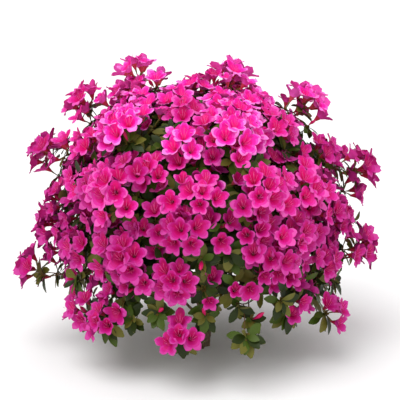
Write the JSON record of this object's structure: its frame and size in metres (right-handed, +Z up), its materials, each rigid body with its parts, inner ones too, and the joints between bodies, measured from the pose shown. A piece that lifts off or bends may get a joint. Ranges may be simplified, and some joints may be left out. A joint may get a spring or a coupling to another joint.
{
  "type": "azalea shrub",
  "caption": "Evergreen azalea shrub in full bloom: a short leaning trunk, forking boughs and a dense dome of magenta funnel flowers over small dark leaves.",
  "frame": {"origin": "the middle of the flat cut under the trunk, at ground level", "axes": "+Z up along the plant's height, +X to the viewer's right across its widest side, -Y towards the front"},
  "size_m": [0.7009, 0.5686, 0.569],
  "materials": {
    "bark": "matt, finely cracked grey-brown bark",
    "blossom": "soft petals in magenta and hot pink over dark green satin leaves",
    "leaf": "satin dark green leaves with a paler olive underside"
  },
  "bodies": {
    "root": {"trunk": "bark", "bough_skirt_1": "bark", "bough_skirt_2": "bark", "bough_skirt_3": "bark", "bough_skirt_4": "bark", "bough_skirt_5": "bark", "bough_skirt_6": "bark", "bough_side_1": "bark", "bough_side_2": "bark", "bough_side_3": "bark", "bough_side_4": "bark", "bough_side_5": "bark", "bough_side_6": "bark", "bough_side_7": "bark", "bough_shoulder_1": "bark", "bough_shoulder_2": "bark", "bough_shoulder_3": "bark", "bough_shoulder_4": "bark", "bough_shoulder_5": "bark", "bough_top_1": "bark", "mass_skirt_1": "blossom", "mass_skirt_2": "blossom", "mass_skirt_3": "blossom", "mass_skirt_4": "blossom", "mass_skirt_5": "blossom", "mass_skirt_6": "blossom", "mass_side_1": "blossom", "mass_side_2": "blossom", "mass_side_3": "blossom", "mass_side_4": "blossom", "mass_side_5": "blossom", "mass_side_6": "blossom", "mass_side_7": "blossom", "mass_shoulder_1": "blossom", "mass_shoulder_2": "blossom", "mass_shoulder_3": "blossom", "mass_shoulder_4": "blossom", "mass_shoulder_5": "blossom", "mass_top_1": "blossom"}
  },
  "joints": []
}
